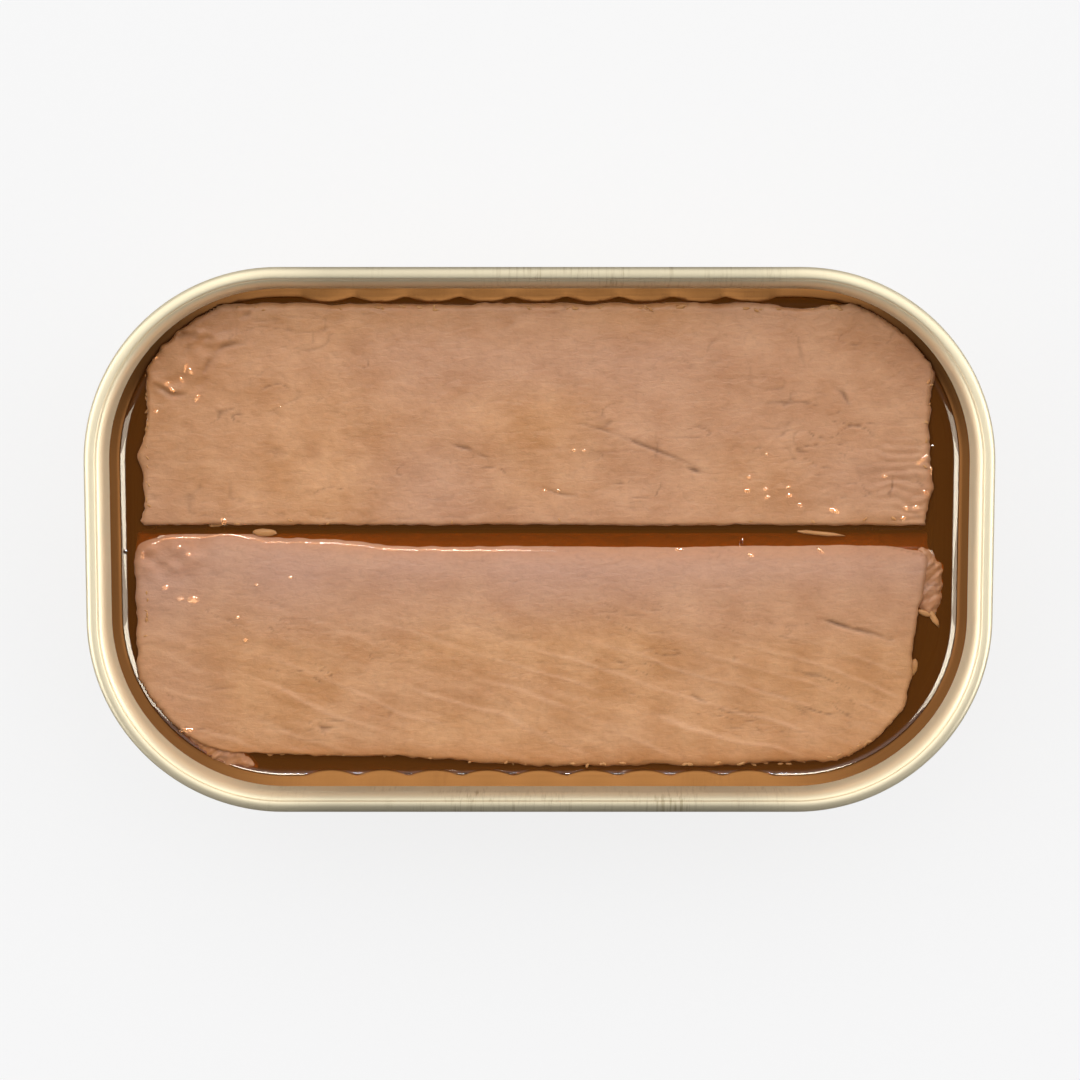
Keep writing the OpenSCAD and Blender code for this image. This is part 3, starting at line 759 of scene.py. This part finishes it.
def tuna_meat(name, base, pale):
    """Cooked tuna loin, packed in oil: dense short fibres, satin and a little wet, light sinking in slightly."""
    made, tree = material(name)
    spot = add(tree, "TexCoord").outputs["Object"]
    broad = add(tree, "TexNoise", {"Vector": spot, "Scale": 190, "Detail": 4, "Roughness": 0.6})
    fibre_map = add(tree, "Mapping", {"Vector": spot, "Scale": (600, 1700, 900)})
    fibre = add(tree, "TexNoise", {"Vector": fibre_map.outputs[0], "Scale": 1, "Detail": 4, "Roughness": 0.6,
                                   "Distortion": 0.6})
    fleck = add(tree, "TexNoise", {"Vector": spot, "Scale": 1500, "Detail": 3, "Roughness": 0.7})
    shade = add(tree, "MapRange", {"Value": broad.outputs["Fac"], "From Min": 0.35, "From Max": 0.68})
    under = add(tree, "Mix", {0: shade.outputs[0], 6: colour(base), 7: colour(pale)}, data_type="RGBA")
    tone = under.outputs[2]
    # Painted light on the meat: the pink tint is partly a painted sheen, the browning tint partly painted shade, and
    # the crack tint is painted shade in cracks, creases, pits and folds.
    for mask_name, tint, amount in (("rose", "B58C7C", 0.7), ("toast", "A9682F", 0.5), ("blot", "9A6238", 0.5),
                                    ("line", "DCAB86", 0.42), ("crack", "3E1C08", 0.8)):
        painted = add(tree, "Attribute", attribute_name=mask_name).outputs["Fac"]
        share = add(tree, "Math", {0: painted, 1: amount}, operation="MULTIPLY")
        tone = add(tree, "Mix", {0: share.outputs[0], 6: tone, 7: colour(tint)}, data_type="RGBA").outputs[2]
    threads = add(tree, "MapRange", {"Value": fibre.outputs["Fac"], "From Min": 0.3, "From Max": 0.7,
                                     "To Min": 0.94, "To Max": 1.06})
    flecks = add(tree, "MapRange", {"Value": fleck.outputs["Fac"], "From Min": 0.25, "From Max": 0.5,
                                    "To Min": 0.9, "To Max": 1.0})
    both = add(tree, "Math", {0: threads.outputs[0], 1: flecks.outputs[0]}, operation="MULTIPLY")
    tone = add(tree, "VectorMath", {0: tone, "Scale": both.outputs[0]}, operation="SCALE").outputs[0]
    rough = add(tree, "MapRange", {"Value": broad.outputs["Fac"], "From Min": 0.3, "From Max": 0.7,
                                   "To Min": 0.34, "To Max": 0.55})
    grain = add(tree, "Bump", {"Height": fibre.outputs["Fac"], "Strength": 0.34, "Distance": 0.0002})
    grit = add(tree, "Bump", {"Height": fleck.outputs["Fac"], "Strength": 0.45, "Distance": 0.0001,
                              "Normal": grain.outputs[0]})
    skin = add(tree, "BsdfPrincipled", {"Base Color": tone, "Roughness": rough.outputs[0], "IOR": 1.42,
                                        "Subsurface Weight": 0.12, "Subsurface Radius": (1.0, 0.45, 0.25),
                                        "Subsurface Scale": 0.001, "Normal": grit.outputs[0]})
    add(tree, "OutputMaterial", {"Surface": skin.outputs[0]})
    return made


def tinplate(name, light, deep, gloss, scratch, metal, ends=None, outside=None):
    """Gold-lacquered tinplate, drawn and seamed: soft reflections, faint draw marks, scratches across the metal."""
    made, tree = material(name)
    laid = add(tree, "Attribute", attribute_name="grain").outputs["Vector"]
    cross_map = add(tree, "Mapping", {"Vector": laid, "Scale": (2600, 2600, 300)})
    cross = add(tree, "TexNoise", {"Vector": cross_map.outputs[0], "Scale": 1, "Detail": 4, "Roughness": 0.7})
    draw_map = add(tree, "Mapping", {"Vector": laid, "Scale": (60, 60, 3000)})
    draw = add(tree, "TexNoise", {"Vector": draw_map.outputs[0], "Scale": 1, "Detail": 3, "Roughness": 0.6})
    spot = add(tree, "TexCoord").outputs["Object"]
    wear = add(tree, "TexNoise", {"Vector": spot, "Scale": 140, "Detail": 3, "Roughness": 0.6})
    worn = add(tree, "MapRange", {"Value": wear.outputs["Fac"], "From Min": 0.42, "From Max": 0.68})
    marks = add(tree, "MapRange", {"Value": cross.outputs["Fac"], "From Min": 0.5, "From Max": 0.66,
                                   "To Max": scratch})
    marked = add(tree, "Math", {0: marks.outputs[0], 1: worn.outputs[0]}, operation="MULTIPLY")
    tone = add(tree, "Mix", {0: marked.outputs[0], 6: colour(light), 7: colour(deep)}, data_type="RGBA")
    # Painted light: the ends colour paints shade on the body's end walls and a highlight on the seam's ends.
    if ends:
        drawn = add(tree, "Attribute", attribute_name="ends").outputs["Fac"]
        tone = add(tree, "Mix", {0: drawn, 6: tone.outputs[2], 7: colour(ends)}, data_type="RGBA")
    if outside:
        outer = add(tree, "Attribute", attribute_name="outside").outputs["Fac"]
        tone = add(tree, "Mix", {0: outer, 6: tone.outputs[2], 7: colour(outside)}, data_type="RGBA")
    rough = add(tree, "MapRange", {"Value": draw.outputs["Fac"], "From Min": 0.3, "From Max": 0.7,
                                   "To Min": gloss - 0.05, "To Max": gloss + 0.08})
    fine = add(tree, "Bump", {"Height": cross.outputs["Fac"], "Strength": 0.25, "Distance": 0.00006})
    lines = add(tree, "Bump", {"Height": draw.outputs["Fac"], "Strength": 0.15, "Distance": 0.00006,
                               "Normal": fine.outputs[0]})
    skin = add(tree, "BsdfPrincipled", {"Base Color": tone.outputs[2], "Metallic": metal, "Roughness": rough.outputs[0],
                                        "Normal": lines.outputs[0]})
    add(tree, "OutputMaterial", {"Surface": skin.outputs[0]})
    return made


def cooking_oil(name, deep=True):
    """Clear yellow-brown packing oil: glossy; a film on the meat is clear, deep oil dark amber."""
    made, tree = material(name if deep else name + "_film")
    spot = add(tree, "TexCoord").outputs["Object"]
    slow = add(tree, "TexNoise", {"Vector": spot, "Scale": 90, "Detail": 1})
    ripple = add(tree, "Bump", {"Height": slow.outputs["Fac"], "Strength": 0.2, "Distance": 0.0002})
    skin = add(tree, "BsdfPrincipled", {"Base Color": colour("A8641C" if deep else "FBF3E0"), "Roughness": 0.03,
                                        "IOR": 1.47, "Transmission Weight": 0.92 if deep else 1.0,
                                        "Normal": ripple.outputs[0]})
    depth = add(tree, "VolumeAbsorption", {"Color": colour("C4851E"), "Density": 75.0})
    add(tree, "OutputMaterial", {"Surface": skin.outputs[0], **({"Volume": depth.outputs[0]} if deep else {})})
    return made


def studio_floor():
    made, tree = material("matt_white_board")
    spot = add(tree, "TexCoord").outputs["Object"]
    tooth = add(tree, "TexNoise", {"Vector": spot, "Scale": 900, "Detail": 2})
    tone = add(tree, "Mix", {0: tooth.outputs["Fac"], 6: colour("6E6E6F"), 7: colour("717172")}, data_type="RGBA")
    seen = add(tree, "LightPath").outputs["Is Camera Ray"]
    glow = add(tree, "Math", {0: seen, 1: 0.80}, operation="MULTIPLY")
    skin = add(tree, "BsdfPrincipled", {"Base Color": tone.outputs[2], "Roughness": 0.9, "Specular IOR Level": 0.0,
                                        "Emission Color": colour("FFFFFF"), "Emission Strength": glow.outputs[0]})
    add(tree, "OutputMaterial", {"Surface": skin.outputs[0]})
    return made


# ---------- the pieces ----------
# The ends colours given here are painted light: shade for the body, a highlight for the seam.
body = make_body(tinplate("gold_lacquered_tinplate_drawn", "A06C38", "83552A", 0.36, 0.3, 0.8, "754A20", "D9B776"))
seam = make_seam(tinplate("pale_gold_lacquered_tinplate_seamed", "CFC3A6", "9F8D6B", 0.40, 0.8, 0.55, "F6E8C6"))
loin = tuna_meat("tuna_loin_cooked_cut_face", "BA8457", "CC986D")
belly = tuna_meat("tuna_loin_cooked_skinned_face", "BA8558", "CB986C")
upper = make_upper(loin)
lower = make_lower(belly)
oil = make_oil(cooking_oil("packing_oil_clear_amber"))
flaked = tuna_meat("tuna_flake_dark_browned", "B07A4C", "C68C60")
flake = make_sliver(flaked, "corner_flake_meat", ("flake_corner",), "tuna_flake",
                    [(-45.2, -21.6), (-43.4, -24.6), (-40.2, -26.9), (-36.0, -27.9), (-31.6, -27.8), (-33.2, -27.1),
                     (-37.0, -24.6), (-41.0, -20.6)], 19.4, 1.6, 501)
flap = make_sliver(flaked, "torn_flap_meat", ("flap_right",), "tuna_flake",
                   [(45.2, -1.0), (45.2, -8.2), (47.0, -9.4), (48.2, -7.8), (48.35, -3.2), (47.2, -0.8)], 19.35, 1.9, 521)
crumbs, drop = crumb_models()
rng = np.random.default_rng(7)


def along(count, ax, ay, bx, by, spread, size, lift=0.0):
    """Torn shreds strewn along an edge."""
    made = []
    for t in rng.random(count):
        x, y = ax + t * (bx - ax) + spread * rng.normal(), ay + t * (by - ay) + spread * rng.normal()
        long = size * (0.6 + 0.9 * rng.random())
        turn = math.degrees(math.atan2(by - ay, bx - ax)) + 35 * rng.normal()
        made.append((x, y, height_at(x, y, [upper, lower, oil]) + lift, long, long * 0.5, long * 0.35, turn))
    return made


shreds = (along(30, -36, 27.45, 42, 27.4, 0.12, 0.6) + along(16, -46.6, 3, -46.7, 20, 0.12, 0.5)
          + along(10, -30, -25.9, 0, -27.2, 0.1, 0.5) + along(16, 2, -27.2, 32, -27.3, 0.12, 0.6) + along(10, -46, 2.0, 44, 2.3, 0.15, 0.5)
          + along(7, 33.4, -26.9, 41, -24.0, 0.12, 0.6) + along(8, -46.8, -1.5, -47.0, -14, 0.12, 0.45)
          + along(7, 45.8, 8, 46.4, 20, 0.15, 0.5)
          + [(16.7, 27.6, 19.6, 1.3, 0.7, 0.5, 10), (35.0, 27.5, 19.5, 1.4, 0.8, 0.5, -10), (47.3, -9.6, 18.9, 2.4, 0.9, 0.5, -62),
             (46.2, -9.0, 18.95, 1.8, 0.7, 0.5, -20), (-38.5, 1.7, 18.95, 2.0, 0.7, 0.5, 5), (-32.8, 0.75, 18.95, 2.8, 1.0, 0.5, 0),
             (33.6, 0.6, 18.9, 5.5, 0.6, 0.5, -6), (-32.5, -26.1, 18.9, 0.8, 0.6, 0.5, 0), (-31.0, -26.1, 18.9, 0.7, 0.5, 0.5, 0),
             (45.0, -15.5, 18.9, 0.9, 2.2, 0.6, -12)])
shred = scattered("torn_shreds", tuna_meat("tuna_shreds_torn_golden", "B98246", "D2A066"), "tuna_flake", crumbs, shreds)
film = cooking_oil("packing_oil_clear_amber", False)
# wet glints: where, how long, how wide and which way the drops lie
glints = ((-45.3, 21.5, 0.5, 0.4, 0), (-42.4, 19.0, 1.1, 0.35, -60), (-41.9, 20.4, 1.0, 0.3, 70), (-41.3, 20.0, 0.9, 0.3, -70),
          (-44.1, 18.5, 0.7, 0.4, 40), (-43.5, 17.8, 0.8, 0.4, -40), (-40.6, 16.8, 0.9, 0.4, 60), (-45.5, 15.2, 0.5, 0.4, 0),
          (-30.8, 15.8, 0.4, 0.3, 0), (45.4, 9.4, 1.9, 0.4, 45), (46.5, 8.0, 1.2, 0.4, 80), (41.0, 7.5, 0.6, 0.4, 0),
          (46.8, 11.0, 0.6, 0.4, 30), (24.9, 7.4, 0.6, 0.4, 60), (24.7, 5.8, 0.7, 0.5, 0), (26.9, 6.0, 0.5, 0.4, 0),
          (27.1, 5.0, 0.6, 0.4, 40), (29.6, 6.2, 0.5, 0.4, 0), (29.7, 5.2, 0.6, 0.5, 0), (31.0, 4.1, 0.6, 0.5, 0),
          (35.1, 3.4, 1.3, 0.5, -20), (46.0, 5.6, 0.9, 0.4, -30), (44.8, 3.8, 0.7, 0.5, 0), (43.6, 3.7, 0.6, 0.5, 0),
          (43.3, 2.5, 0.7, 0.5, 30), (27.0, 10.2, 0.4, 0.3, 0), (0.6, 5.8, 0.5, 0.3, 0), (2.3, 5.8, 0.4, 0.3, 0),
          (4.1, 10.6, 0.4, 0.3, 0), (5.3, 10.6, 0.4, 0.3, 0), (-37.6, 2.1, 0.8, 0.7, 0), (-47.4, -2.0, 1.0, 0.35, 85),
          (-41.9, -1.8, 0.6, 0.4, 0), (-43.0, -1.0, 0.5, 0.4, 0), (-44.7, -5.8, 0.8, 0.5, 20), (-42.9, -7.2, 0.7, 0.4, 0),
          (-41.4, -7.3, 1.2, 0.8, 0), (-29.7, -4.6, 0.5, 0.3, 0), (-33.8, -5.5, 0.5, 0.3, 0), (-36.1, -9.4, 0.5, 0.4, 0),
          (-35.2, -12.2, 0.5, 0.4, 0), (24.1, -0.7, 1.3, 0.4, 75), (16.7, -1.4, 0.9, 0.4, 0), (25.3, -2.0, 0.8, 0.4, -20),
          (33.7, -1.6, 1.4, 0.4, -45), (-42.4, -23.1, 1.6, 0.5, 0), (45.2, -15.6, 0.8, 0.5, 80), (-49.6, -1.6, 0.7, 0.5, 0))
drops = scattered("oil_droplets", film, "oil", [drop],
                  [(x, y, height_at(x, y, [upper, lower, oil, flake, flap]) - 0.02, long * 1.15, wide * 1.15, 0.2, turn)
                   for x, y, long, wide, turn in glints])
for model in (*crumbs, drop):
    bpy.data.objects.remove(model)
waterlines = [
    make_waterline(film, "gap_waterline", -46.3, 2.0, 0.26, gap_line, lambda x: np.clip((2 - x) / 9, 0.15, 1)),
    make_waterline(film, "wall_waterline", -31.5, 31.5, 0.2, lambda x: -28.5 - 0.02 * np.sin(x * 0.4),
                   lambda x: np.clip((31.5 - np.abs(x)) / 3, 0.2, 1))]

# ---------- floor, light and camera ----------
floor = primitive("plane", "studio_floor", at=(0, 0, -0.05), size=1)
bpy.ops.transform.resize(value=(4, 4, 4), center_override=(0, 0, 0))
leave_edit()
floor.data.materials.append(studio_floor())


def studio_sky():
    """A white tent round the table: its main bright wall behind and above, bright panels low at both ends, and an
    opening above the can and on the near side."""
    world = bpy.data.worlds.new("studio")
    bpy.context.scene.world = world
    world.use_nodes = True
    tree = world.node_tree
    tree.nodes.clear()
    way = add(tree, "TexCoord").outputs["Generated"]
    parts = add(tree, "SeparateXYZ", {0: way})
    toward = add(tree, "VectorMath", {0: way, 1: (0, 0.66, 0.75)}, operation="DOT_PRODUCT")
    main = add(tree, "MapRange", {"Value": toward.outputs["Value"], "From Min": 0.3, "From Max": 0.95,
                                  "To Min": 0.0, "To Max": 1.5}, interpolation_type="SMOOTHSTEP")
    opening = add(tree, "MapRange", {"Value": parts.outputs[2], "From Min": 0.88, "From Max": 0.96,
                                     "To Min": 1.0, "To Max": 0.04}, interpolation_type="SMOOTHSTEP")
    beside = add(tree, "Math", {0: parts.outputs[0]}, operation="ABSOLUTE")
    panels = add(tree, "MapRange", {"Value": beside.outputs[0], "From Min": 0.70, "From Max": 0.96,
                                    "To Min": 0.04, "To Max": 3.3}, interpolation_type="SMOOTHSTEP")
    tent = add(tree, "Math", {0: main.outputs[0], 1: opening.outputs[0]}, operation="MULTIPLY")
    both = add(tree, "Math", {0: tent.outputs[0], 1: panels.outputs[0]}, operation="ADD")
    light = add(tree, "Background", {"Color": colour("FFFFFF"), "Strength": both.outputs[0]})
    add(tree, "OutputWorld", {"Surface": light.outputs[0]})


def softbox(name, azimuth, elevation, size, watts, lights, tint=(1, 1, 1), distance=0.8):
    """A square studio light aimed at the can, flagged so that it lights only these pieces; azimuth is from +X
    towards +Y."""
    light = bpy.data.lights.new(name, "AREA")
    light.shape, light.size, light.energy = "SQUARE", size, watts
    light.color = tint
    lamp = bpy.data.objects.new(name, light)
    lamp.visible_transmission = False
    bpy.context.scene.collection.objects.link(lamp)
    a, e = math.radians(azimuth), math.radians(elevation)
    lamp.location = Vector((math.cos(a) * math.cos(e), math.sin(a) * math.cos(e), math.sin(e))) * distance
    lamp.rotation_euler = (-lamp.location).to_track_quat("-Z", "Y").to_euler()
    flagged = bpy.data.collections.new(name + "_lights")
    for piece in lights:
        flagged.objects.link(piece)
    lamp.light_linking.receiver_collection = flagged


studio_sky()
warm = (1.0, 0.9, 0.72)
for name, azimuth, watts in (("right_near", -7.4, 2.0), ("right_far", 9.5, 4.0),
                             ("left_near", 187.4, 2.0), ("left_far", 170.5, 4.0)):
    softbox("softbox_" + name, azimuth, 62, 0.3, watts, [oil], warm)
softbox("softbox_far", 90, 52, 0.22, 4.5, [oil], warm)
softbox("softbox_glints", 80, 56, 0.5, 40, [drops, *waterlines])
softbox("softbox_meat", 100, 66, 0.4, 1.75, [upper, lower, flake, flap, shred])
softbox("softbox_near", 270, 34, 0.45, 1.2, [body])
softbox("softbox_above", 0, 90, 0.6, 0.95, [seam])

tilt = math.radians(6)
reach = 0.300
camera = bpy.data.objects.new("camera", bpy.data.cameras.new("camera"))
bpy.context.scene.collection.objects.link(camera)
camera.data.sensor_width = 36
camera.data.lens = 85.2
camera.data.clip_start = 0.01
camera.location = Vector((0.06 * mm, math.sin(tilt) * reach + 0.38 * mm, cad_high.z + math.cos(tilt) * reach))
camera.rotation_euler = (-tilt, 0, 0)
bpy.context.scene.camera = camera
bpy.context.scene.view_settings.view_transform = "Standard"
